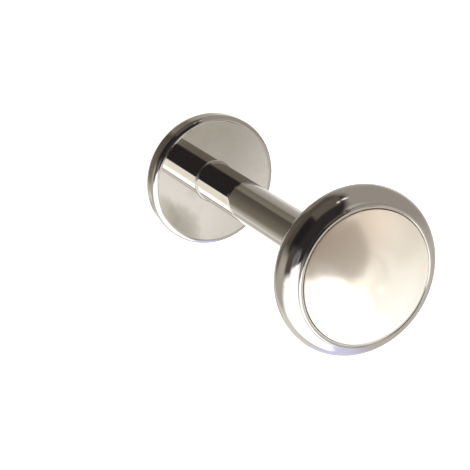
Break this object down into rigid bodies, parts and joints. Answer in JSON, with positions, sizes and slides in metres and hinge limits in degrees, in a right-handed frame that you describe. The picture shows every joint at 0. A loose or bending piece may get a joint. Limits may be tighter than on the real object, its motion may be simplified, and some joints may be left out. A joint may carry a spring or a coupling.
{
  "type": "labret stud",
  "caption": "Flat-back labret stud: a back disc with a hollow post, and a push-in head with a rounded bezel round a domed pearly stone.",
  "frame": {"origin": "centre of the flat back of the disc, which the stud stands on", "axes": "+Z along the post, from the back disc to the head; the stud is round, so X and Y are free"},
  "size_m": [0.0046, 0.0046, 0.011],
  "materials": {
    "polished_steel": "mirror-polished surgical steel",
    "pearl_stone": "glossy pearly white, opaque"
  },
  "bodies": {
    "base": {"disc_post": "polished_steel"},
    "head": {"bezel": "polished_steel", "cabochon": "pearl_stone"}
  },
  "joints": [
    {"name": "head_pull", "type": "slide", "parent": "base", "child": "head", "axis": [0, 0, 1], "range_m": [0, 0.005]}
  ]
}
